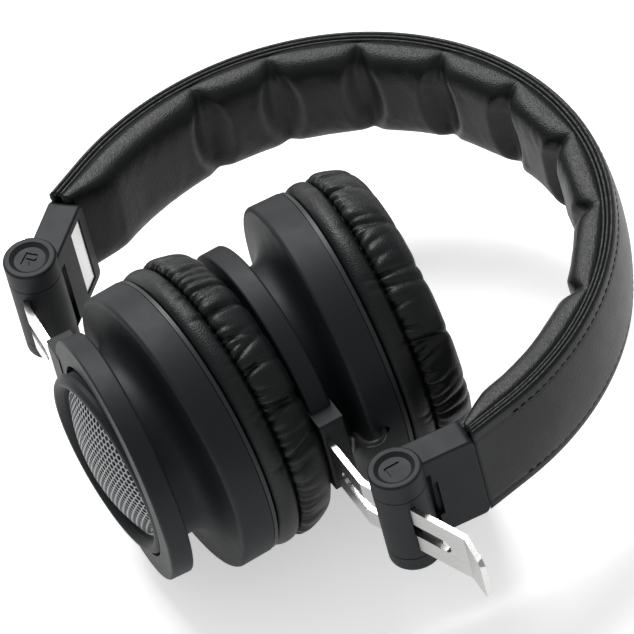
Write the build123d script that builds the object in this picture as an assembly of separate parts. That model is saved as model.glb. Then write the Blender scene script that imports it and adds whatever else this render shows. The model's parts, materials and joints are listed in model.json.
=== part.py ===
from build123d import *
import os
from math import acos, cos, sin, radians, sqrt, tan

# Folding over ear headphones, in millimetres.
# Building frame: the two fold barrels stand along Z, +X points from the right barrel to the left
# one, and +Y points at the crown of the headband. At the end every piece is moved so that the
# origin is the middle of the bottom of the whole object.
# One side is drawn once, in its own barrel frame: origin on the fold axis, +X from the barrel
# to the ear cup, +Y to the cushion side. The right side is that drawing turned into place, and
# the left side is its mirror image.

# ---- driving dimensions ----
BARREL_SPACING = 153.4      # between the two fold axes
BARREL_R = 8.5
BARREL_LOW, BARREL_HIGH = -15.0, 10.35
SEAM = 0.3                  # gap between a barrel and its lugs
HINGE_R = 2.0               # hinge pin
STOP_R = 2.35               # stop pin, running in the arm's slot
BORE_FIT = 0.05             # radial running fit
CAP_BASE, CAP_TOP = 14.5, 18.05
CAP_DISH_R, CAP_DISH = 6.4, 1.0
LETTER_DEPTH, LETTER_STROKE = 0.45, 0.7
LETTER_LEAN = 19.0          # the side mark leans this far from +Y, towards the block
LOWER_CAP = -21.0
BLOCK_ANGLE = 114.0         # lean of the right end block, from +X
BLOCK_THICK = 10.5
BLOCK_HALF = 16.6
BLOCK_END = 25.4            # from the fold axis to the face where the band leaves
BLOCK_INSET = 3.0           # the block's middle lies this far inside the fold axis
BLOCK_CORNER = 2.4
BLOCK_CUT = 9.9             # radius of the hollow that the barrel turns in
WINDOW = (13.9, 21.2)       # window for the strip plate, along the block
WINDOW_HALF = 13.8
RELIEF = (8.5, 11.3)        # shallow relief beside the barrel, on the outer face
RELIEF_LOW, RELIEF_HIGH = -8.2, 6.4
BAND_HALF = 17.8
BAND_Z = 1.5                # the band's middle plane lies this far above the blocks'

ARM_Z = -2.33               # the arms lie this far below the band's middle plane
ARM_THICK = 1.8
ARM_HALF = 9.4
ARM_OFFSET = 3.45           # the arm passes this far outside the fold axis
ARM_STRAIGHT = 41.5         # from the inner bend to the grip's bend
ARM_BEND = 20.5             # degrees, between the slotted part and the cup's flange
GRIP_LENGTH, GRIP_ANGLE = 11.0, 25.0
GRIP_TIP_HALF = 8.0
SLOT_HALF = 2.55
SLOT_MARGIN = 7.2           # steel left between the slot and the grip's bend
SLOT_PAST_BEND = 11.0
ARM_GAP = 0.2               # clearance of the arm in the barrel, each side

CUP_Z = -1.2                # the cup axes lie this far below the band's middle plane
ARM_TO_CENTRE = 65.0        # along the flange, from the inner bend to the cup axis
ARM_STEP = 2.4              # the flange's middle plane lies this far above the arm's
FLANGE_R = 40.2             # the flange is an open ring, and the cup's neck turns in it
FLANGE_HOLE_R = 32.0
FLANGE_HALF = 3.75
TAB_REACH = 44.0            # from the cup axis to the tab's end
TAB_HALF_HEIGHT = 14.5
TAB_HALF = 4.1
ARM_IN_TAB = 7.0
NECK = 9.8                  # between the flange and the cup's disc
NECK_R, NECK_BORE_R = 30.3, 27.5
FLARE, FLARE_R = 8.0, 43.6  # the neck widens smoothly onto the disc
TILT_PIN_R = 1.6
TILT_PIN = (27.8, 36.5)     # from the neck's wall into the ring
FLANGE_FRONT = -17.3        # the flange's front plane, from the disc's front face
BEZEL_R = 30.9
BEZEL_SHOULDER, BEZEL_TOP = 2.3, 3.4    # heights over the flange's front plane
GRILLE_R = 26.0
GRILLE_RISE = 6.3
GRILLE_THICK = 0.8
GRILLE_RIM = 27.4

DISC_R = 47.05
DISC_THICK = 10.84
DISC_ROUND = 1.6
WALL = 2.2
FRONT_WALL = 1.8
TRIM_R = 46.8
TRIM_END = 12.7
CUSHION_FACE = 34.6         # all measured from the disc's front face
EAR_HOLE_R = 26.0
SOCKET_R, SOCKET_BORE_R = 2.9, 1.8
SOCKET_ANGLE = -50.0
LEAD_R = 1.0
LEAD_HOLE_R = 1.4
LEAD_SHARE = 0.45           # share of a straight run that a bend may take
# run of the left cup's signal lead, as (distance from the cup axis, degrees, depth)
LEAD_ROUTE = (
    (41.0, 175.0, 4.6), (49.8, 175.0, 4.6), (49.8, 176.0, -2.9), (35.5, 184.0, -2.9),
    (34.8, 205.0, -2.9), (34.8, 225.0, -2.9), (29.6, 240.0, -2.9))

# rest position of each side: arm angle from +X, barrel axis to inner bend, cup tilt
REST = {
    "right": dict(fold=-43.4, bend=10.5, tilt=6.0),
    "left": dict(fold=-1.8, bend=12.6, tilt=4.2),
}

# headband outline: crown arc, shoulder arc, then a straight run into the block
CROWN_R, CROWN_TOP = 90.2, 143.3
SHOULDER_R = 96.3
SHOULDER_FROM, SHOULDER_TO = 49.4, 97.0
COVER_THICK = 2.4
SPRING_DEPTH, SPRING_THICK = 3.0, 1.0
SPRING_HALF = 12.0
PAD_THICK = 9.0
PAD_ROUND = 4.0             # rounding of the pad's inner edges


# ---- small helpers ----
def rod(radius, low, high, x=0.0, y=0.0):
    """Cylinder standing along Z."""
    return Pos(x, y, (low + high) / 2) * Cylinder(radius, high - low)


def box(x0, x1, y0, y1, z0, z1):
    return Pos((x0 + x1) / 2, (y0 + y1) / 2, (z0 + z1) / 2) * Box(x1 - x0, y1 - y0, z1 - z0)


def turned(*points):
    """Solid of revolution about the Y axis from (radius, y) points."""
    return revolve(make_face(Polyline(*points, close=True)), Axis.Y)


def along_y(radius, y0, y1, x=0.0, z=0.0):
    return Pos(x, (y0 + y1) / 2, z) * Rot(90, 0, 0) * Cylinder(radius, y1 - y0)


def slab(points, z0, z1):
    """Flat outline in XY, raised from z0 to z1."""
    face = make_face(Polyline(*points, close=True))
    return Pos(0, 0, z0) * extrude(face, z1 - z0, dir=(0, 0, 1))


def ribbon(points, half):
    """Outline of a bent strip, from its middle line and half its thickness."""
    sides = {1: [], -1: []}
    for k, (x, y) in enumerate(points):
        before = points[max(k - 1, 0)]
        after = points[min(k + 1, len(points) - 1)]
        headings = []
        for (ax, ay), (bx, by) in ((before, (x, y)), ((x, y), after)):
            length = sqrt((bx - ax) ** 2 + (by - ay) ** 2)
            if length:
                headings.append(((bx - ax) / length, (by - ay) / length))
        hx = sum(h[0] for h in headings) / len(headings)
        hy = sum(h[1] for h in headings) / len(headings)
        reach = half / (hx * hx + hy * hy)
        for side in sides:
            sides[side].append((x - side * hy * reach, y + side * hx * reach))
    return sides[1] + sides[-1][::-1]


# ---- headband ----
def band_points(depth):
    """Half of the band's outline at a depth under its outer face, from crown to block."""
    a, b = radians(SHOULDER_FROM), radians(SHOULDER_TO)
    crown = (0, CROWN_TOP - CROWN_R)
    step = CROWN_R - SHOULDER_R
    shoulder = (step * sin(a), crown[1] + step * cos(a))

    def on(centre, radius, angle):
        return (centre[0] + radius * sin(angle), centre[1] + radius * cos(angle))

    low = on(shoulder, SHOULDER_R - depth, b)
    lean = radians(180 - BLOCK_ANGLE)
    nx, ny = cos(lean), sin(lean)
    hx, hy = cos(b), -sin(b)
    face = BLOCK_END + nx * BARREL_SPACING / 2
    run = (face - low[0] * nx - low[1] * ny) / (hx * nx + hy * ny)
    return [
        on(crown, CROWN_R - depth, 0),
        on(crown, CROWN_R - depth, a / 2),
        on(crown, CROWN_R - depth, a),
        on(shoulder, SHOULDER_R - depth, (a + b) / 2),
        low,
        (low[0] + hx * run, low[1] + hy * run),
    ]


def band_layer(outer, inner, low, high):
    """One layer of the band, between two depths and two heights."""
    edges = []
    for sign in (1, -1):
        for depth in (outer, inner):
            p = [(sign * x, y) for x, y in band_points(depth)]
            edges += [ThreePointArc(*p[0:3]), ThreePointArc(*p[2:5]), Line(*p[4:6])]
        edges.append(Line(*[(sign * band_points(d)[-1][0], band_points(d)[-1][1]) for d in (outer, inner)]))
    return Pos(0, 0, low) * extrude(make_face(edges), high - low, dir=(0, 0, 1))


def headband():
    spring_low = SPRING_DEPTH + SPRING_THICK
    pad_top = spring_low + 0.3
    piping_half = 1.0
    piping_z = BAND_HALF - 0.4 - piping_half
    piping = [
        band_layer(COVER_THICK, pad_top, z - piping_half, z + piping_half) for z in (piping_z, -piping_z)
    ]
    pad = band_layer(pad_top, pad_top + PAD_THICK, 0.5 - BAND_HALF, BAND_HALF - 0.5)
    inner_edges = pad.edges().filter_by(lambda e: is_inner_edge(e, pad_top + PAD_THICK))
    level = Pos(0, 0, BAND_Z)
    return {
        "headband_cover": level * band_layer(0, COVER_THICK, -BAND_HALF, BAND_HALF),
        "headband_spring": level * band_layer(SPRING_DEPTH, spring_low, -SPRING_HALF, SPRING_HALF),
        "headband_pad": level * fillet(inner_edges, PAD_ROUND),
        "headband_piping": Compound(children=[level * s for p in piping for s in p.solids()]),
    }


def is_inner_edge(edge, depth):
    """Long edges of the pad on its head side."""
    middle = edge.position_at(0.5)
    a = radians(SHOULDER_FROM)
    step = CROWN_R - SHOULDER_R
    x, y = abs(middle.X) - step * sin(a), middle.Y - CROWN_TOP + CROWN_R - step * cos(a)
    below = SHOULDER_R - sqrt(x * x + y * y)
    return abs(abs(middle.Z) - BAND_HALF + 0.5) < 0.01 and abs(below - depth) < 1.5


# ---- end block, caps and pins: block frame has +X along the block and +Y outwards ----
def end_block():
    outer = BLOCK_THICK / 2 - BLOCK_INSET
    inner = outer - BLOCK_THICK
    body = box(0, BLOCK_END, inner, outer, -BLOCK_HALF, BLOCK_HALF)
    corners = body.edges().filter_by(Axis.Y).group_by(Axis.X)[-1]
    body = fillet(corners, BLOCK_CORNER)
    body += rod(BARREL_R, -BLOCK_HALF, CAP_BASE)
    body -= rod(BARREL_R + 0.05, CAP_BASE, BLOCK_HALF + 1)
    body -= rod(BLOCK_CUT, BARREL_LOW - SEAM, BARREL_HIGH + SEAM)
    body -= rod(HINGE_R, -BLOCK_HALF - 1, CAP_BASE + 1)
    body -= box(*WINDOW, inner - 1, inner + 1.5, -WINDOW_HALF, WINDOW_HALF)
    body -= box(*RELIEF, outer - 2, outer + 1, RELIEF_LOW, RELIEF_HIGH)
    edges = body.edges().filter_by(Axis.X).filter_by(lambda e: e.length > 12)
    body = fillet(edges, 0.8)
    return body


def letter(side):
    """Strokes of the side mark, in the cap's own plane, read along the block."""
    half = LETTER_STROKE / 2
    tall, wide = 5.0, 3.9
    depth = (CAP_TOP - CAP_DISH - LETTER_DEPTH, CAP_TOP)
    x0 = -wide / 2
    stem = box(x0 - half, x0 + half, -tall / 2, tall / 2, *depth)
    if side == "left":
        return stem + box(x0, wide / 2, -tall / 2 - half, -tall / 2 + half, *depth)
    bowl_r = tall / 4
    bowl = rod(bowl_r + half, *depth) - rod(bowl_r - half, *depth)
    bowl = (bowl & box(0, 9, -9, 9, *depth))
    bars = [box(x0, 0.8, y - half, y + half, *depth) for y in (tall / 2 - half, 0)]
    leg = box(x0 + 1.6, x0 + 1.6 + 2 * half, -tall / 2, 0, *depth)
    leg = Rot(0, 0, 24) * leg
    mark = stem + bars[0] + bars[1] + Pos(0.8, tall / 4 - half / 2, 0) * bowl
    return mark + (leg & box(-9, 9, -tall / 2, 0, *depth))


def cap():
    body = rod(BARREL_R, CAP_BASE, CAP_TOP)
    body = fillet(body.edges().group_by(Axis.Z)[-1], 0.9)
    dish = Pos(0, 0, CAP_TOP - CAP_DISH / 2) * Cone(CAP_DISH_R - 1.4, CAP_DISH_R, CAP_DISH)
    return body - dish


def lower_cap():
    body = rod(BARREL_R, LOWER_CAP, -BLOCK_HALF)
    return fillet(body.edges().group_by(Axis.Z)[0], 1.4)


# ---- barrel, stop pin and shoe: barrel frame, turned with the arm ----
def barrel():
    reach = ARM_THICK / 2 + ARM_GAP
    body = rod(BARREL_R, BARREL_LOW, BARREL_HIGH)
    body -= rod(HINGE_R + BORE_FIT, BARREL_LOW - 1, BARREL_HIGH + 1)
    height = ARM_HALF + ARM_GAP
    body -= box(-10, 10, -ARM_OFFSET - reach, -ARM_OFFSET + reach, ARM_Z - height, ARM_Z + height)
    body -= along_y(STOP_R, -7.6, -ARM_OFFSET, z=ARM_Z)
    body -= shoe_plate(0.0)
    return body


def shoe_plate(hole):
    inner = -ARM_OFFSET - ARM_THICK / 2 - 0.1
    plate = box(-4.5, 4.5, inner - 1.4, inner, ARM_Z - 6, ARM_Z + 6)
    if hole:
        plate -= along_y(hole, -9, 0, z=ARM_Z)
    return plate


def stop_pin():
    return along_y(STOP_R, -7.6, -ARM_OFFSET + 0.95, z=ARM_Z)


# ---- arm: its frame has the inner bend at the origin and the straight part along -X ----
def arm():
    bend, grip = radians(ARM_BEND), radians(GRIP_ANGLE)
    inner = ARM_TO_CENTRE - TAB_REACH + ARM_IN_TAB
    points = [
        (-ARM_STRAIGHT - GRIP_LENGTH * cos(grip), -GRIP_LENGTH * sin(grip)),
        (-ARM_STRAIGHT, 0),
        (0, 0),
        (inner * cos(bend), inner * sin(bend)),
    ]
    body = slab(ribbon(points, ARM_THICK / 2), -ARM_HALF, ARM_HALF)
    bends = body.edges().filter_by(Axis.Z).filter_by(lambda e: is_bend(e, points))
    body = fillet(bends, 1.6)
    tip = points[0][0] - 1
    taper = Polyline(
        (40, ARM_HALF), (-ARM_STRAIGHT, ARM_HALF), (tip + 2.5, GRIP_TIP_HALF), (tip, GRIP_TIP_HALF - 2.4),
        (tip, 2.4 - GRIP_TIP_HALF), (tip + 2.5, -GRIP_TIP_HALF), (-ARM_STRAIGHT, -ARM_HALF),
        (40, -ARM_HALF), close=True)
    mask = Rot(90, 0, 0) * extrude(make_face(taper), 40, both=True)
    body = body & mask
    start = SLOT_MARGIN + SLOT_HALF - ARM_STRAIGHT
    slot = box(start, SLOT_PAST_BEND, -9, 12, -SLOT_HALF, SLOT_HALF)
    slot += along_y(SLOT_HALF, -9, 12, x=start) + along_y(SLOT_HALF, -9, 12, x=SLOT_PAST_BEND)
    return body - slot


def is_bend(edge, points):
    middle = edge.position_at(0.5)
    return any(abs(middle.X - x) + abs(middle.Y - y) < 2.2 for x, y in points[1:-1])


# ---- flange: its frame has the cup axis along Y ----
def flange():
    body = along_y(FLANGE_R, -FLANGE_HALF, FLANGE_HALF)
    body = fillet(body.edges().filter_by(GeomType.CIRCLE), 0.9)
    tab = box(-TAB_REACH, -34, -TAB_HALF, TAB_HALF, -TAB_HALF_HEIGHT, TAB_HALF_HEIGHT)
    tab = fillet(tab.edges().group_by(Axis.X)[0], 0.7)
    body += tab
    body -= along_y(FLANGE_HOLE_R, -6, 6)
    for z0, z1 in (TILT_PIN, (-TILT_PIN[1], -TILT_PIN[0])):
        body -= rod(TILT_PIN_R, z0, z1)
    half = ARM_THICK / 2
    middle = ARM_Z - CUP_Z
    slot = box(-TAB_REACH - 1, ARM_IN_TAB - TAB_REACH, -ARM_STEP - half, -ARM_STEP + half, -ARM_HALF, ARM_HALF)
    return body - Pos(0, 0, middle) * slot


# ---- ear cup: cup frame has the disc's front face at y = 0 ----
def cup_shell(side):
    body = turned(
        (0, 0), (DISC_R, 0), (DISC_R, DISC_THICK), (DISC_R - WALL, DISC_THICK), (DISC_R - WALL, FRONT_WALL),
        (0, FRONT_WALL))
    body = fillet(body.edges().group_by(Axis.Y)[0], DISC_ROUND)
    if side == "left":
        body -= socket_rod(SOCKET_R, DISC_R - WALL - 1, DISC_R + 1)
        body -= radial_rod(LEAD_HOLE_R, LEAD_ROUTE[0][1], LEAD_ROUTE[0][2], DISC_R - WALL - 1, DISC_R + 1)
    return body


def radial_rod(radius, angle, y, r0, r1):
    """Cylinder pointing away from the cup axis."""
    rod_x = Pos((r0 + r1) / 2, 0, 0) * Rot(0, 90, 0) * Cylinder(radius, r1 - r0)
    return Pos(0, y, 0) * Rot(0, -angle, 0) * rod_x


def socket_rod(radius, r0, r1):
    return radial_rod(radius, SOCKET_ANGLE, FRONT_WALL + SOCKET_R + 0.4, r0, r1)


def bend_radii(route):
    """One radius per corner of a route, from its shorter straight run and its turn."""
    radii = []
    for before, corner, after in zip(route, route[1:], route[2:]):
        come, go = Vector(*corner) - Vector(*before), Vector(*after) - Vector(*corner)
        turn = acos(come.dot(go) / come.length / go.length)
        radii.append(LEAD_SHARE * min(come.length, go.length) / tan(turn / 2))
    return radii


def lead():
    """Signal lead: out of the disc's rim, over its edge and round the neck, into the neck's wall."""
    route = [(r * cos(radians(a)), y, r * sin(radians(a))) for r, a, y in LEAD_ROUTE]
    radii = bend_radii(route)
    run = FilletPolyline(*route, radius=radii)
    print("lead length", round(run.length, 2), "bend radii", [round(r, 2) for r in radii])
    return sweep(Plane(run @ 0, z_dir=run % 0) * Circle(LEAD_R), path=run)


def audio_socket():
    flange_ring = socket_rod(SOCKET_R, 36.0, DISC_R - 0.2)
    return flange_ring - socket_rod(SOCKET_BORE_R, 38.0, DISC_R + 1)


def neck():
    """Short tube from the disc through the flange's ring, on a wide concave foot."""
    end = FLANGE_FRONT + 0.3
    flare = Bezier((NECK_R, -FLARE), (NECK_R, -2.0), (34.5, -0.15), (FLARE_R, 0))
    inside = Polyline((FLARE_R, 0), (NECK_BORE_R, 0), (NECK_BORE_R, end), (NECK_R, end), (NECK_R, -FLARE))
    body = revolve(make_face([flare, inside]), Axis.Y)
    return body - rod(TILT_PIN_R + BORE_FIT, -NECK_R - 1, NECK_R + 1, y=-FLANGE_HALF - NECK)


def bezel():
    """Rounded ring on the neck's end, holding the grille's rim."""
    seat, shoulder, top = (FLANGE_FRONT - h for h in (-0.3, BEZEL_SHOULDER, BEZEL_TOP))
    return turned(
        (GRILLE_RIM + 0.1, seat), (BEZEL_R - 0.4, seat), (BEZEL_R, seat - 0.4), (BEZEL_R, shoulder + 0.6),
        (BEZEL_R - 0.3, shoulder), (BEZEL_R - 0.9, top + 0.4), (29.2, top), (28.3, top + 0.1),
        (27.4, shoulder), (26.7, shoulder + 1.1), (26.3, FLANGE_FRONT), (GRILLE_RIM + 0.1, FLANGE_FRONT))


def grille_face(depth):
    """Three points of the grille's domed profile."""
    radius = (GRILLE_R ** 2 + GRILLE_RISE ** 2) / (2 * GRILLE_RISE)
    half = GRILLE_R / 2
    middle = GRILLE_RISE - radius + sqrt(radius ** 2 - half ** 2)
    base = FLANGE_FRONT + depth
    return [(0, base - GRILLE_RISE), (half, base - middle), (GRILLE_R, base)]


def grille():
    top, low = grille_face(0), grille_face(GRILLE_THICK)
    edges = [
        ThreePointArc(*top),
        Polyline(top[2], (GRILLE_RIM, top[2][1]), (GRILLE_RIM, low[2][1]), low[2]),
        ThreePointArc(*low),
        Line(low[0], top[0])]
    return revolve(make_face(edges), Axis.Y)


def grille_foam():
    return along_y(GRILLE_R, FLANGE_FRONT + GRILLE_THICK + 0.1, FLANGE_FRONT + GRILLE_THICK + 2.1)


def trim_ring():
    return turned(
        (40, DISC_THICK), (TRIM_R - 0.8, DISC_THICK), (TRIM_R - 0.8, DISC_THICK + 0.35),
        (TRIM_R, DISC_THICK + 0.35), (TRIM_R, TRIM_END - 0.35), (TRIM_R - 0.8, TRIM_END - 0.35),
        (TRIM_R - 0.8, TRIM_END), (40, TRIM_END))


def baffle():
    return turned((20.4, 8.4), (DISC_R - WALL, 8.4), (DISC_R - WALL, 10.4), (20.4, 10.4))


def driver_frame():
    return turned(
        (12.0, 5.0), (13.0, 4.4), (20.2, 6.4), (20.2, 10.4), (22.6, 10.4), (22.6, 11.4), (18.8, 11.4),
        (18.8, 7.4), (12.0, 6.0))


def driver_magnet():
    return turned((0, 3.0), (11.9, 3.0), (11.9, 8.4), (0, 8.4))


def diaphragm():
    return turned((0, 9.3), (9.0, 10.1), (12.0, 10.9), (15.5, 10.2), (18.7, 10.9), (18.7, 11.3), (15.5, 10.6),
                  (12.0, 11.3), (9.0, 10.5), (0, 9.7))


def damping_ring():
    return turned((24, FRONT_WALL + 0.1), (35.5, FRONT_WALL + 0.1), (35.5, 5.2), (24, 5.2))


def ear_mesh():
    return turned((0, TRIM_END + 0.4), (EAR_HOLE_R - 0.4, TRIM_END + 0.4), (EAR_HOLE_R - 0.4, TRIM_END + 1.2),
                  (0, TRIM_END + 1.2))


def cushion():
    return turned(
        (EAR_HOLE_R, TRIM_END + 0.1), (44.8, TRIM_END + 0.1), (46.8, 14.4), (47.6, 16.6), (47.4, 19.0),
        (46.2, 20.7), (47.0, 22.8), (47.1, 25.6), (46.5, 29.0), (45.0, 32.0), (42.6, 33.9),
        (40.0, CUSHION_FACE), (37.2, 34.3), (34.0, 32.6), (30.6, 29.6), (28.0, 26.4), (26.4, 23.0),
        (EAR_HOLE_R, 20.0))


# ---- placing ----
def barrel_place(side):
    """From a side's barrel frame to the building frame, before mirroring."""
    return Pos(-BARREL_SPACING / 2, 0, 0)


def arm_place(side):
    rest = REST[side]
    return barrel_place(side) * Rot(0, 0, rest["fold"]) * Pos(rest["bend"], -ARM_OFFSET, ARM_Z)


def flange_place(side):
    return arm_place(side) * Rot(0, 0, ARM_BEND) * Pos(ARM_TO_CENTRE, ARM_STEP, CUP_Z - ARM_Z)


def cup_place(side):
    return flange_place(side) * Rot(0, 0, REST[side]["tilt"]) * Pos(0, FLANGE_HALF + NECK, 0)


def one_side(side):
    barrel_turned = barrel_place(side) * Rot(0, 0, REST[side]["fold"])
    block = barrel_place(side) * Rot(0, 0, BLOCK_ANGLE)
    inner = BLOCK_THICK / 2 - BLOCK_INSET - BLOCK_THICK
    outer_cap = cap()
    placed = [
        (block, "end_block", end_block()),
        (block, "cap", outer_cap),
        (block, "lower_cap", lower_cap()),
        (block, "hinge_pin", rod(HINGE_R, -BLOCK_HALF + 0.1, CAP_BASE - 0.1)),
        (block, "strip_plate", box(WINDOW[0], WINDOW[1], inner + 0.4, inner + 1.5, -WINDOW_HALF, WINDOW_HALF)),
        (barrel_turned, "barrel", barrel()),
        (barrel_turned, "stop_pin", stop_pin()),
        (barrel_turned, "friction_shoe", shoe_plate(STOP_R)),
        (arm_place(side), "arm", arm()),
    ]
    f = flange_place(side)
    placed += [
        (f, "flange", flange()),
        (f, "upper_tilt_pin", rod(TILT_PIN_R, *TILT_PIN)),
        (f, "lower_tilt_pin", rod(TILT_PIN_R, -TILT_PIN[1], -TILT_PIN[0])),
    ]
    c = cup_place(side)
    placed += [
        (c, "cup_shell", cup_shell(side)),
        (c, "neck", neck()),
        (c, "bezel", bezel()),
        (c, "grille", grille()),
        (c, "grille_foam", grille_foam()),
        (c, "trim_ring", trim_ring()),
        (c, "baffle", baffle()),
        (c, "driver_frame", driver_frame()),
        (c, "driver_magnet", driver_magnet()),
        (c, "driver_diaphragm", diaphragm()),
        (c, "damping_ring", damping_ring()),
        (c, "ear_mesh", ear_mesh()),
        (c, "ear_cushion", cushion()),
    ]
    if side == "left":
        placed += [(c, "audio_socket", audio_socket()), (c, "signal_lead", lead())]
    nodes = {}
    for place, name, shape in placed:
        shape = place * shape
        nodes[f"{side}_{name}"] = shape.mirror(Plane.YZ) if side == "left" else shape
    nodes[f"{side}_cap"] -= letter_in_place(side)
    return nodes


def letter_in_place(side):
    """The side mark reads from above, with its top towards the headband."""
    sign = 1 if side == "left" else -1
    return Pos(sign * BARREL_SPACING / 2, 0, 0) * Rot(0, 0, -sign * LETTER_LEAN) * letter(side)


def build():
    nodes = headband()
    for side in REST:
        nodes.update(one_side(side))
    return nodes


def whole_shift(nodes):
    """Move from the building frame to the part's frame."""
    boxes = [shape.bounding_box() for shape in nodes.values()]
    low = [min(getattr(b.min, k) for b in boxes) for k in "XYZ"]
    high = [max(getattr(b.max, k) for b in boxes) for k in "XYZ"]
    return Pos(-(low[0] + high[0]) / 2, -(low[1] + high[1]) / 2, -low[2])


NODES = build()
SHIFT = whole_shift(NODES)
os.makedirs("parts", exist_ok=True)
for name, shape in NODES.items():
    export_step(SHIFT * shape, f"parts/{name}.step")
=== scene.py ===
import json
import random
from math import cos, sin, pi, radians, sqrt

import bpy
import numpy as np
from mathutils import Matrix, Vector, noise


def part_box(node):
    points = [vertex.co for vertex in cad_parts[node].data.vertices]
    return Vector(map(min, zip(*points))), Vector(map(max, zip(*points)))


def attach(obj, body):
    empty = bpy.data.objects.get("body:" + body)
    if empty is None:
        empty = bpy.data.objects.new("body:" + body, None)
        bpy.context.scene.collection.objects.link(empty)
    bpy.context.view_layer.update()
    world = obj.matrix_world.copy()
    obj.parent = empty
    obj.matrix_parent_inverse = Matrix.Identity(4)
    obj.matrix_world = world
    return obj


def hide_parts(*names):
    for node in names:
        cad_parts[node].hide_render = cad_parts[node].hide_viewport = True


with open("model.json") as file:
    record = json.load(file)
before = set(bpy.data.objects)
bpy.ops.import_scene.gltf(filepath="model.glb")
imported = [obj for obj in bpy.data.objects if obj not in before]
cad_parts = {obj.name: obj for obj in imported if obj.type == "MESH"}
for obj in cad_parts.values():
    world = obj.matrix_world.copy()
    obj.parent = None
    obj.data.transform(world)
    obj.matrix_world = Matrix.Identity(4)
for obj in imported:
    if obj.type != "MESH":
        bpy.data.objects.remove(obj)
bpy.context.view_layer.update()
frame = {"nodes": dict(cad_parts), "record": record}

# Looks of the folding headphones. Lengths are in millimetres in each piece's own frame, and
# BUILDING turns them into the row frame's metres. The building frame and the sizes below are
# those of the CAD part: origin midway between the hinges, +X to the left one, +Y to the crown.

# ---- sizes repeated from the part ----
BARREL_SPACING = 153.4
BARREL_MIDDLE_Z = -2.325
ARM_Z, ARM_OFFSET, ARM_BEND = -2.33, 3.45, 20.5
ARM_TO_CENTRE, ARM_STEP, CUP_Z = 65.0, 2.4, -1.2
FLANGE_HALF, NECK = 3.75, 9.8
REST = {
    "right": dict(fold=-43.4, bend=10.5, tilt=6.0),
    "left": dict(fold=-1.8, bend=12.6, tilt=4.2),
}
CROWN_R, CROWN_TOP, SHOULDER_R = 90.2, 143.3, 96.3
SHOULDER_FROM, SHOULDER_TO = 49.4, 97.0
BLOCK_ANGLE, BLOCK_END = 114.0, 25.4
BAND_HALF, BAND_Z = 17.8, 1.5
TRIM_END = 12.7
CUSHION_OUTLINE = (         # (radius, y) round the section of an ear cushion
    (26.6, 13.3), (35.0, 12.95), (44.2, 12.95), (46.4, 13.9), (47.45, 16.2), (47.25, 18.8),
    (46.4, 20.1), (44.9, 20.75), (46.3, 21.3), (47.3, 23.0), (47.4, 25.6), (46.6, 29.0),
    (45.0, 32.0), (42.7, 33.8), (40.0, 34.55), (37.2, 34.2), (34.0, 32.5), (30.6, 29.5),
    (28.0, 26.2), (26.7, 22.6), (26.4, 17.5))
CUSHION_SEAM = (44.9, 20.75)
CUSHION_MIDDLE = (36.5, 24.0)
PLEATS = 92                 # gathers at each ear cushion's seam
CLOTH_R = 25.9
GRILLE_R, GRILLE_RISE, GRILLE_EDGE = 26.0, 6.3, -17.3
LEAD_R = 1.0
LEAD_ROUTE = (
    (41.0, 175.0, 4.6), (49.8, 175.0, 4.6), (49.8, 176.0, -2.9), (35.5, 184.0, -2.9),
    (34.8, 205.0, -2.9), (34.8, 225.0, -2.9), (29.6, 240.0, -2.9))

# ---- looks ----
CHARCOAL = (0.0072, 0.0090, 0.0108)
LEATHER = (0.0040, 0.0048, 0.0055)
CAMERA_TURN = (53.66, 47.38, -15.39)             # azimuth, elevation and roll, degrees
CAMERA_DISTANCE, CAMERA_LENS, CAMERA_SENSOR = 3.3607, 621.6, 36.0
CAMERA_AIM = (0, 47.22, 0)                       # in the building frame
CAMERA_SHIFT = (0.00170, 0.00476)                # of the aim to the left and down, metres
FLOOR_GLOW = 0.48           # emission that brings the floor up to the white of the photo's ground
WORLD_STRENGTH = 0.42

# ---- headband leather ----
STRAIGHT_TURN = 12.0        # degrees counted for the straight run past each shoulder
BAND_TURN = SHOULDER_TO + STRAIGHT_TURN
MM_PER_DEGREE = 1.5         # of the pad's length, roughly, for noise and the notches
PAD_BASE, PAD_DEPTH = 3.9, 10.3
NOTCHES = (-70, -54, -35, -16, 3, 23, 44, 66)    # the pad's hollows, degrees from the crown
HOLLOW_DEPTH, BRIM_HEIGHT = 4.4, 0.35
TUCK_TOP, TUCK_BOTTOM = 7.8, 1.8                 # depth of each hollow's tuck at the pad's edges
STITCH_Z = 14.0
CROWNING = 1.8              # the outer leather's middle stands this far over its edges


# ---- placing ----
def shift(x, y, z):
    return Matrix.Translation((x, y, z))


def spin(degrees):
    return Matrix.Rotation(radians(degrees), 4, "Z")


def building_frame():
    centres = [sum(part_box(f"{side}_barrel"), Vector()) / 2 for side in REST]
    middle = (centres[0] + centres[1]) / 2
    return shift(middle.x, middle.y, middle.z - BARREL_MIDDLE_Z / 1000) @ Matrix.Scale(0.001, 4)


BUILDING = building_frame()


def side_frame(side):
    """Frame of one side's barrel axis: +X to the cup, +Y to the cushion side."""
    mirror = Matrix.Scale(-1, 4, (1, 0, 0)) if side == "left" else Matrix.Identity(4)
    return BUILDING @ mirror @ shift(-BARREL_SPACING / 2, 0, 0)


def cup_frame(side):
    """Frame of one ear cup: +Y along its axis to the cushion, origin in the disc's front face."""
    rest = REST[side]
    arm = side_frame(side) @ spin(rest["fold"]) @ shift(rest["bend"], -ARM_OFFSET, ARM_Z)
    ring = arm @ spin(ARM_BEND) @ shift(ARM_TO_CENTRE, ARM_STEP, CUP_Z - ARM_Z)
    return ring @ spin(rest["tilt"]) @ shift(0, FLANGE_HALF + NECK, 0)


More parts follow.
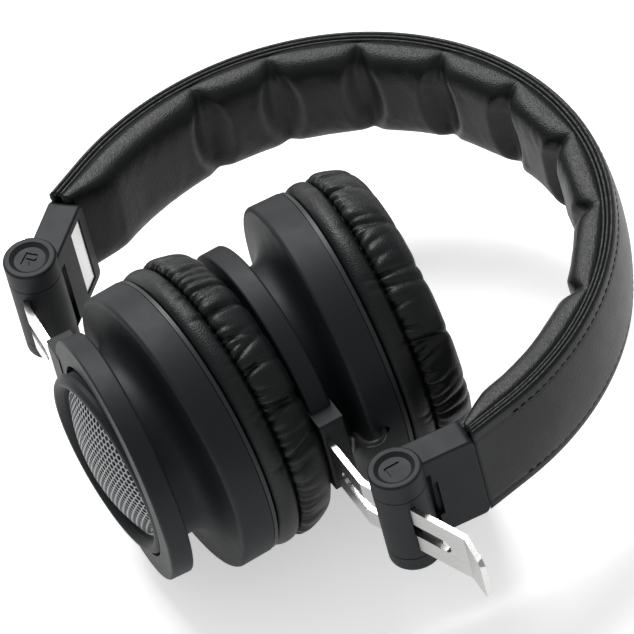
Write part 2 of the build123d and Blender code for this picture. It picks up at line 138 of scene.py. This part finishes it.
# ---- mesh helpers ----
def grid_faces(rows, columns, wrap_rows=False, wrap_columns=False):
    faces = []
    for i in range(rows if wrap_rows else rows - 1):
        for j in range(columns if wrap_columns else columns - 1):
            a, b = (i + 1) % rows, (j + 1) % columns
            faces.append((i * columns + j, i * columns + b, a * columns + b, a * columns + j))
    return faces


def piece(name, points, faces, place, material, smooth=True):
    """Mesh object from points in a local frame, moved into the row frame."""
    m = np.array(place)
    points = np.asarray(points, float).reshape(-1, 3) @ m[:3, :3].T + m[:3, 3]
    mesh = bpy.data.meshes.new(name)
    mesh.from_pydata(points.tolist(), [], faces)
    mesh.update()
    obj = bpy.data.objects.new(name, mesh)
    bpy.context.scene.collection.objects.link(obj)
    mesh.materials.append(material)
    outward_normals(obj)
    mesh.polygons.foreach_set("use_smooth", [smooth] * len(mesh.polygons))
    return obj


def outward_normals(obj):
    bpy.context.view_layer.objects.active = obj
    obj.select_set(True)
    bpy.ops.object.mode_set(mode="EDIT")
    bpy.ops.mesh.select_all(action="SELECT")
    bpy.ops.mesh.normals_make_consistent(inside=False)
    bpy.ops.object.mode_set(mode="OBJECT")
    obj.select_set(False)


def turned(profile, steps):
    """Points and faces of a closed profile of (radius, y) turned about Y."""
    profile = np.asarray(profile, float)
    angle = np.linspace(0, 2 * pi, steps, endpoint=False)
    r, y = profile[:, :1], profile[:, 1:]
    points = np.stack([r * np.cos(angle), y + 0 * angle, r * np.sin(angle)], -1)
    return points, grid_faces(len(profile), steps, True, True)


def smooth_loop(controls, per_span):
    """Closed Catmull-Rom curve through the control points."""
    p = np.asarray(controls, float)
    t = np.linspace(0, 1, per_span, endpoint=False)[:, None]
    before, after, beyond = np.roll(p, 1, 0), np.roll(p, -1, 0), np.roll(p, -2, 0)
    spans = [
        0.5 * (2 * b + (c - a) * t + (2 * a - 5 * b + 4 * c - d) * t ** 2
               + (3 * b - a - 3 * c + d) * t ** 3)
        for a, b, c, d in zip(before, p, after, beyond)
    ]
    return np.concatenate(spans)


def wander(x, y, z, scale):
    """Smooth noise from -1 to 1 at a point in millimetres."""
    return noise.noise(Vector((x / scale, y / scale, z / scale)))


# ---- materials ----
def shader(name, colour, roughness, metallic=0.0, specular=0.5):
    material = bpy.data.materials.new(name)
    material.use_nodes = True
    node = material.node_tree.nodes["Principled BSDF"]
    node.inputs["Base Color"].default_value = (*colour, 1)
    node.inputs["Roughness"].default_value = roughness
    node.inputs["Metallic"].default_value = metallic
    node.inputs["Specular IOR Level"].default_value = specular
    return material


def noise_node(material, scale, detail=3.0, stretch=None):
    """Noise in the row frame's metres, stretched along an axis if asked."""
    tree = material.node_tree
    place = tree.nodes.new("ShaderNodeTexCoord")
    mapping = tree.nodes.new("ShaderNodeMapping")
    mapping.inputs["Scale"].default_value = stretch or (1, 1, 1)
    grain = tree.nodes.new("ShaderNodeTexNoise")
    grain.inputs["Scale"].default_value = scale
    grain.inputs["Detail"].default_value = detail
    tree.links.new(place.outputs["Object"], mapping.inputs["Vector"])
    tree.links.new(mapping.outputs["Vector"], grain.inputs["Vector"])
    return grain, mapping


def roughness_range(material, source, low, high):
    tree = material.node_tree
    spread = tree.nodes.new("ShaderNodeMapRange")
    spread.inputs["To Min"].default_value = low
    spread.inputs["To Max"].default_value = high
    tree.links.new(source, spread.inputs["Value"])
    tree.links.new(spread.outputs["Result"], tree.nodes["Principled BSDF"].inputs["Roughness"])


def bump(material, source, distance, strength=1.0):
    """Adds a bump on top of any that the material has."""
    tree = material.node_tree
    node = tree.nodes.new("ShaderNodeBump")
    node.inputs["Distance"].default_value = distance
    node.inputs["Strength"].default_value = strength
    tree.links.new(source, node.inputs["Height"])
    normal = tree.nodes["Principled BSDF"].inputs["Normal"]
    if normal.is_linked:
        tree.links.new(normal.links[0].from_socket, node.inputs["Normal"])
    tree.links.new(node.outputs["Normal"], normal)


def soft_touch(name="soft_touch", colour=CHARCOAL):
    material = shader(name, colour, 0.55, specular=0.24)
    fine, _ = noise_node(material, 5200, 2.0)
    wide, _ = noise_node(material, 180, 3.0)
    roughness_range(material, wide.outputs["Fac"], 0.50, 0.62)
    bump(material, fine.outputs["Fac"], 0.00002, 0.5)
    return material


def leather():
    material = shader("leather", LEATHER, 0.42, specular=0.26)
    tree = material.node_tree
    wide, mapping = noise_node(material, 140, 4.0)
    cells = tree.nodes.new("ShaderNodeTexVoronoi")
    cells.feature = "DISTANCE_TO_EDGE"
    cells.inputs["Scale"].default_value = 1300
    cells.inputs["Randomness"].default_value = 1.0
    tree.links.new(mapping.outputs["Vector"], cells.inputs["Vector"])
    folds, _ = noise_node(material, 700, 5.0)
    roughness_range(material, wide.outputs["Fac"], 0.38, 0.50)
    bump(material, cells.outputs["Distance"], 0.00024, 0.6)
    bump(material, folds.outputs["Fac"], 0.00014, 0.5)
    return material


def brushed(name, colour, roughness, stretch=(1, 1, 30)):
    material = shader(name, colour, roughness, 1.0)
    lines, _ = noise_node(material, 420, 3.0, stretch)
    roughness_range(material, lines.outputs["Fac"], roughness - 0.06, roughness + 0.08)
    bump(material, lines.outputs["Fac"], 0.00001, 0.35)
    return material


def cloth():
    material = shader("ear_cloth", (0.010, 0.010, 0.011), 0.9)
    tree = material.node_tree
    _, mapping = noise_node(material, 100)
    weave = tree.nodes.new("ShaderNodeTexVoronoi")
    weave.inputs["Scale"].default_value = 1400
    tree.links.new(mapping.outputs["Vector"], weave.inputs["Vector"])
    bump(material, weave.outputs["Distance"], 0.0003, 0.8)
    return material


def gloss(name, colour, roughness, specular=0.4):
    material = shader(name, colour, roughness, specular=specular)
    fine, _ = noise_node(material, 900, 2.0)
    roughness_range(material, fine.outputs["Fac"], roughness - 0.04, roughness + 0.06)
    bump(material, fine.outputs["Fac"], 0.00001, 0.3)
    return material


MATERIALS = {
    "soft_touch": soft_touch(),
    "leather": leather(),
    "steel": brushed("steel", (0.58, 0.578, 0.57), 0.27),
    "spring_steel": brushed("spring_steel", (0.45, 0.45, 0.46), 0.35),
    "pin_steel": brushed("pin_steel", (0.55, 0.55, 0.56), 0.30),
    "grille_steel": brushed("grille_steel", (0.20, 0.205, 0.21), 0.42, (1, 1, 1)),
    "foam": cloth(),
    "trim": gloss("trim", (0.016, 0.018, 0.020), 0.44, 0.3),
    "inner_plastic": soft_touch("inner_plastic", (0.01, 0.01, 0.01)),
    "magnet": brushed("magnet", (0.30, 0.30, 0.31), 0.4),
    "film": gloss("film", (0.35, 0.33, 0.30), 0.25),
    "socket_metal": brushed("socket_metal", (0.5, 0.5, 0.5), 0.32),
    "lead_sheath": gloss("lead_sheath", (0.03, 0.031, 0.034), 0.42),
}
MATERIALS["ear_cloth"] = MATERIALS["foam"]
THREAD = gloss("thread", (0.014, 0.015, 0.017), 0.55)


def paint_frame():
    """Gives every CAD node the material of its slot."""
    for part in frame["record"]["subparts"]:
        obj = frame["nodes"][part["node"]]
        obj.data.materials.clear()
        obj.data.materials.append(MATERIALS[part["material_slot"]])


# ---- headband ----
def band_arcs():
    """Centres and turning angle of the crown arc and the shoulder arc."""
    a = radians(SHOULDER_FROM)
    step = CROWN_R - SHOULDER_R
    crown = np.array([0, CROWN_TOP - CROWN_R])
    return crown, crown + step * np.array([sin(a), cos(a)])


def band_run(depth):
    """Straight length from the shoulder arc's end to the block, at a depth."""
    b, lean = radians(SHOULDER_TO), radians(180 - BLOCK_ANGLE)
    low = band_arcs()[1] + (SHOULDER_R - depth) * np.array([sin(b), cos(b)])
    normal = np.array([cos(lean), sin(lean)])
    heading = np.array([cos(b), -sin(b)])
    face = BLOCK_END + normal[0] * BARREL_SPACING / 2
    return (face - low @ normal) / (heading @ normal)


def band_point(turn, depth):
    """Point of the band's outline and its outward normal. Turn is in degrees from the crown, and
    past the shoulder's end it counts one degree for each share of the straight run."""
    sign, size = (1, turn) if turn >= 0 else (-1, -turn)
    crown, shoulder = band_arcs()
    heading = radians(min(size, SHOULDER_TO))
    normal = np.array([sin(heading), cos(heading)])
    centre, radius = (crown, CROWN_R) if size < SHOULDER_FROM else (shoulder, SHOULDER_R)
    point = centre + (radius - depth) * normal
    if size > SHOULDER_TO:
        share = (size - SHOULDER_TO) / STRAIGHT_TURN
        point = point + share * band_run(depth) * np.array([normal[1], -normal[0]])
    return point * (sign, 1), normal * (sign, 1)


def band_sweep(name, section, material, turns):
    """Closed cross-section(turn) -> list of (depth, z), carried along the band."""
    points = []
    for turn in turns:
        for depth, z in section(turn):
            (x, y), _ = band_point(turn, depth)
            points.append((x, y, z + BAND_Z))
    count = len(points) // len(turns)
    faces = grid_faces(len(turns), count, False, True)
    faces += [tuple(range(count)), tuple(range(len(points) - count, len(points)))]
    return piece(name, points, faces, BUILDING, material)


def notch_dent(away, v):
    """Depth of the hollow between two cells of the pad, at a distance from the notch's middle: broad
    in the middle of the pad's width, and a sharp tuck at its edges, where v is -1 or, on top, 1."""
    lens = 1 - v * v
    width = 1.9 + 3.6 * lens
    at_edge = 0.75 if v > 0 else 0.35
    hollow = np.exp(-abs(away / width) ** 2.4) * (at_edge * (1 - lens) + lens)
    brim = np.exp(-((away - 1.35 * width) / 2.0) ** 2)
    tuck = np.exp(-sqrt(away * away + 0.4) / 4.2)
    edge = abs(v) ** 6
    tuck_depth = TUCK_TOP if v > 0 else TUCK_BOTTOM
    return (1 - edge) * (HOLLOW_DEPTH * hollow - BRIM_HEIGHT * brim * lens) + edge * tuck_depth * tuck


def pad_section(turn):
    end = min(1.0, (BAND_TURN - abs(turn)) / 14.0)
    swell = 0.40 + 0.60 * sin(pi / 2 * max(end, 0.0))
    away = min(abs(turn - n) for n in NOTCHES) * MM_PER_DEGREE
    section = []
    for k in range(73):
        angle = pi * k / 72
        v = np.sign(cos(angle)) * abs(cos(angle)) ** 0.40
        rise = abs(sin(angle)) ** 0.46
        along = turn * MM_PER_DEGREE
        wrinkle = 0.18 * wander(along, v * 16, 3.0, 9) + 0.10 * wander(along, v * 16, 8.0, 3.2)
        thick = PAD_DEPTH * swell - notch_dent(away, v) + wrinkle * (1 + 1.5 * np.exp(-away / 4))
        half = BAND_HALF - 0.6 - 0.5 * np.exp(-away / 2.5)
        section.append((PAD_BASE + rise * thick, half * v))
    section += [(4.1, z) for z in (-11, -4, 4, 11)]
    return section


def cover_section(turn):
    """Outer leather: a thin crowned panel with turned-in edges and a sewn groove near each."""
    fade = min(1.0, (BAND_TURN - abs(turn)) / 20.0)
    section = []
    for k in range(45):
        z = BAND_HALF * sin(-pi / 2 + pi * k / 44)
        groove = sum(np.exp(-((z - s * STITCH_Z) / 0.35) ** 2) for s in (1, -1))
        rounding = 0.8 * max(0.0, (abs(z) - BAND_HALF + 1.2) / 1.2) ** 2.2
        crown = CROWNING * fade * (1 - (z / BAND_HALF) ** 2)
        ripple = 0.10 * wander(turn * MM_PER_DEGREE, z, 20.0, 14)
        section.append((rounding + 0.42 * groove + 0.12 - crown + ripple * (1 - abs(z) / BAND_HALF), z))
    section += [(1.75, z) for z in (17.5, 8, 0, -8, -17.5)]
    return section


def piping_section(depth, z, radius):
    def section(turn):
        ripple = 0.05 * wander(turn * MM_PER_DEGREE, depth * 9, z, 4)
        size = radius + ripple
        angles = [2 * pi * k / 12 for k in range(12)]
        return [(depth + size * sin(a), z + size * cos(a)) for a in angles]
    return section


def stitches(name, z, material, pitch=3.1, length=2.1):
    """A row of sewn stitches on the outer cover, as one mesh."""
    points, faces = [], []
    total = 2 * radians(SHOULDER_TO) * SHOULDER_R
    count = int(total / pitch)
    for k in range(count):
        turn = -SHOULDER_TO + 2 * SHOULDER_TO * (k + 0.5) / count
        (x, y), n = band_point(turn, 0.30 - CROWNING * (1 - (z / BAND_HALF) ** 2))
        along = np.array([n[1], -n[0]])
        base = len(points)
        for i in range(5):
            reach = (i / 4 - 0.5) * length
            width = 0.30 * sqrt(max(0.05, 1 - (reach / length * 2) ** 2))
            for j in range(6):
                out = width * sin(2 * pi * j / 6)
                across = width * cos(2 * pi * j / 6)
                points.append((*(np.array([x, y]) + along * reach + n * out), z + BAND_Z + across))
        faces += [tuple(base + v for v in f) for f in grid_faces(5, 6, False, True)]
        faces += [tuple(base + j for j in range(6)), tuple(base + 24 + j for j in range(6))]
    return piece(name, points, faces, BUILDING, material)


def headband():
    fine = np.linspace(-BAND_TURN, BAND_TURN, 661)
    plain = np.linspace(-BAND_TURN, BAND_TURN, 241)
    pad = band_sweep("pad_leather", pad_section, MATERIALS["leather"], fine)
    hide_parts("headband_pad")
    cover = band_sweep("cover_leather", cover_section, MATERIALS["leather"], plain)
    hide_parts("headband_cover")
    pieces = [pad, cover]
    for sign, edge in ((1, "top"), (-1, "bottom")):
        for k, (depth, radius) in enumerate(((2.35, 0.68), (3.60, 0.62))):
            section = piping_section(depth, sign * (17.10 - 0.25 * k), radius)
            pieces.append(band_sweep(f"piping_{edge}_{k}", section, MATERIALS["leather"], plain))
        pieces.append(stitches(f"stitches_{edge}", sign * STITCH_Z, THREAD))
    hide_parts("headband_piping")
    for obj in pieces:
        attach(obj, "headband")


# ---- ear cups ----
def gathers(seed):
    """Radial pleats of an ear cushion: angle, width, length, depth and lean of each."""
    rng = random.Random(seed)
    pleats = []
    for k in range(PLEATS):
        angle = 2 * pi * (k + rng.uniform(-0.34, 0.34)) / PLEATS
        length = rng.uniform(8.0, 14.0) if rng.random() < 0.24 else rng.uniform(3.5, 7.0)
        depth = rng.uniform(0.95, 1.60) + 0.06 * length
        pleats.append((angle, rng.uniform(0.62, 1.05), length, depth, rng.uniform(-0.008, 0.008)))
    return pleats


def cushion_points(seed):
    profile = smooth_loop(CUSHION_OUTLINE, 6)
    steps = 720
    points, faces = turned(profile, steps)
    angle = np.linspace(0, 2 * pi, steps, endpoint=False)
    outward = profile - CUSHION_MIDDLE
    outward /= np.linalg.norm(outward, axis=1)[:, None]
    beyond = np.linalg.norm(profile - CUSHION_SEAM, axis=1)
    outer = (profile[:, 0] > 36.0) & (profile[:, 1] > 20.4)
    lower = (profile[:, 0] > 44.0) & (profile[:, 1] <= 20.4)
    move = np.zeros((len(profile), steps))
    for where, width, length, depth, lean in gathers(seed):
        along = np.where(outer, beyond, 0.0)[:, None]
        gap = (angle[None, :] - where - lean * along + pi) % (2 * pi) - pi
        reach = np.where(outer, beyond / length, 9)
        reach = np.where(lower, beyond / (0.25 * length), reach)
        fade = np.exp(-reach ** 1.7)[:, None]
        spread = width * (0.75 + 0.09 * beyond)[:, None]
        valley = np.exp(-np.abs(gap * 46 / spread) ** 1.5)
        move -= depth * fade * valley
    puff = np.where(outer, 0.5 * np.exp(-((beyond - 2.5) / 3.0) ** 2), 0.0)
    move += puff[:, None]
    for i, (r, y) in enumerate(profile):
        for j, a in enumerate(angle):
            x, z = r * cos(a), r * sin(a)
            share = 1 if outer[i] or lower[i] else 0.5
            move[i, j] += 0.16 * wander(x, y * 1.3, z + seed * 50, 9) * share
    points[..., 0] += move * outward[:, :1] * np.cos(angle)
    points[..., 2] += move * outward[:, :1] * np.sin(angle)
    points[..., 1] += move * outward[:, 1:]
    return points, faces


def ear_cushion(side, seed):
    points, faces = cushion_points(seed)
    obj = piece(f"{side}_cushion_leather", points, faces, cup_frame(side), MATERIALS["leather"])
    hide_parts(f"{side}_ear_cushion")
    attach(obj, f"{side}_cup")


def ear_cloth(side):
    """Crowned cloth over the driver, inside the cushion's hole."""
    base = TRIM_END + 0.35
    rows = [(CLOTH_R, base), (CLOTH_R, base + 0.5)]
    rows += [
        (CLOTH_R * (1 - k / 12), base + 0.5 + 1.1 * sqrt(1 - (1 - k / 12) ** 2)) for k in range(1, 12)
    ]
    rows += [(0.3, base + 1.6), (0.3, base)]
    points, faces = turned(rows, 96)
    obj = piece(f"{side}_driver_cloth", points, faces, cup_frame(side), MATERIALS["ear_cloth"])
    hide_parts(f"{side}_ear_mesh")
    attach(obj, f"{side}_cup")


def dome(r):
    radius = (GRILLE_R ** 2 + GRILLE_RISE ** 2) / (2 * GRILLE_RISE)
    return GRILLE_EDGE - GRILLE_RISE + radius - np.sqrt(radius ** 2 - r ** 2)


def grille(side, pitch=2.05, hole=0.80, thick=0.6):
    """Domed sheet with a staggered pattern of round holes, each cut through the metal."""
    points, faces = [], []
    row_step = pitch * sqrt(3) / 2
    reach = int(GRILLE_R / row_step) + 2
    corner = pitch / sqrt(3)
    for row in range(-reach, reach + 1):
        for column in range(-reach, reach + 1):
            cx = (column + 0.5 * (row % 2)) * pitch
            cz = row * row_step
            if sqrt(cx * cx + cz * cz) > GRILLE_R - 1.1:
                continue
            base = len(points)
            for k in range(12):
                angle = 2 * pi * k / 12
                out = corner if k % 2 else corner * cos(pi / 6)
                for radius, drop in ((out, 0), (hole, 0), (hole, thick), (out, thick)):
                    x, z = cx + radius * cos(angle), cz + radius * sin(angle)
                    points.append((x, dome(min(sqrt(x * x + z * z), GRILLE_R)) + drop, z))
            for k in range(12):
                here, there = base + 4 * k, base + 4 * ((k + 1) % 12)
                faces += [(here + i, there + i, there + i + 1, here + i + 1) for i in range(3)]
    obj = piece(f"{side}_grille_sheet", points, faces, cup_frame(side), MATERIALS["grille_steel"], False)
    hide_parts(f"{side}_grille")
    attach(obj, f"{side}_cup")
    rim = [(r, float(dome(r)) - 0.05) for r in (24.7, 25.2, 25.7, 26.0)] + [(26.2, -17.2), (26.2, -16.5)]
    rim += [(25.6, -16.6), (24.7, float(dome(24.7)) + 0.7)]
    points, faces = turned(rim, 144)
    ring = piece(f"{side}_grille_rim", points, faces, cup_frame(side), MATERIALS["grille_steel"])
    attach(ring, f"{side}_cup")


# ---- signal lead ----
def lead():
    frame_left = cup_frame("left")
    route = [
        frame_left @ Vector((r * cos(radians(a)), y, r * sin(radians(a)))) for r, a, y in LEAD_ROUTE
    ]
    curve = bpy.data.curves.new("lead_line", "CURVE")
    curve.dimensions = "3D"
    spline = curve.splines.new("NURBS")
    spline.points.add(len(route) - 1)
    for point, place in zip(spline.points, route):
        point.co = (*place, 1)
    spline.order_u = 3
    spline.use_endpoint_u = True
    curve.bevel_depth = LEAD_R / 1000
    curve.bevel_resolution = 4
    curve.resolution_u = 16
    obj = bpy.data.objects.new("signal_lead_sheath", curve)
    bpy.context.scene.collection.objects.link(obj)
    curve.materials.append(MATERIALS["lead_sheath"])
    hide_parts("left_signal_lead")
    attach(obj, "left_cup")


# ---- camera, floor and light ----
def camera():
    azimuth, elevation, roll = (radians(angle) for angle in CAMERA_TURN)
    back = Vector((sin(azimuth) * cos(elevation), -cos(azimuth) * cos(elevation), sin(elevation)))
    right = Vector((0, 0, 1)).cross(back).normalized()
    up = back.cross(right)
    right_rolled = cos(roll) * right + sin(roll) * up
    up_rolled = cos(roll) * up - sin(roll) * right
    look_at = BUILDING @ Vector(CAMERA_AIM)
    look_at = look_at - right_rolled * CAMERA_SHIFT[0] - up_rolled * CAMERA_SHIFT[1]
    data = bpy.data.cameras.new("camera")
    data.sensor_width = CAMERA_SENSOR
    data.lens = CAMERA_LENS
    data.clip_end = 50.0
    obj = bpy.data.objects.new("camera", data)
    bpy.context.scene.collection.objects.link(obj)
    turn = Matrix((right_rolled, up_rolled, back)).transposed().to_4x4()
    obj.matrix_world = Matrix.Translation(look_at + back * CAMERA_DISTANCE) @ turn
    bpy.context.scene.camera = obj


def area_light(name, place, size, energy, aim=(0, 0, 0.04)):
    data = bpy.data.lights.new(name, "AREA")
    data.shape = "RECTANGLE"
    data.size, data.size_y = size
    data.energy = energy
    obj = bpy.data.objects.new(name, data)
    bpy.context.scene.collection.objects.link(obj)
    obj.location = place
    obj.rotation_euler = (Vector(place) - Vector(aim)).to_track_quat("Z", "Y").to_euler()


def studio():
    bpy.ops.mesh.primitive_plane_add(size=12, location=(0, 0, -0.0005))
    floor = bpy.context.active_object
    floor.name = "floor"
    white = shader("floor_white", (0.95, 0.95, 0.95), 0.9)
    glow = white.node_tree.nodes["Principled BSDF"]
    glow.inputs["Emission Color"].default_value = (1, 1, 1, 1)
    glow.inputs["Emission Strength"].default_value = FLOOR_GLOW
    floor.data.materials.append(white)
    world = bpy.data.worlds.new("studio")
    bpy.context.scene.world = world
    world.use_nodes = True
    background = world.node_tree.nodes["Background"]
    background.inputs["Color"].default_value = (1, 1, 1, 1)
    background.inputs["Strength"].default_value = WORLD_STRENGTH
    area_light("key", (-1.1, 0.5, 1.5), (0.9, 0.9), 42)
    area_light("fill", (1.3, -0.9, 0.9), (1.0, 1.0), 1.5)
    bpy.context.scene.view_settings.view_transform = "Standard"


camera()
lead()
paint_frame()
headband()
for seed, side in enumerate(REST):
    ear_cushion(side, seed + 3)
    ear_cloth(side)
    grille(side)
studio()
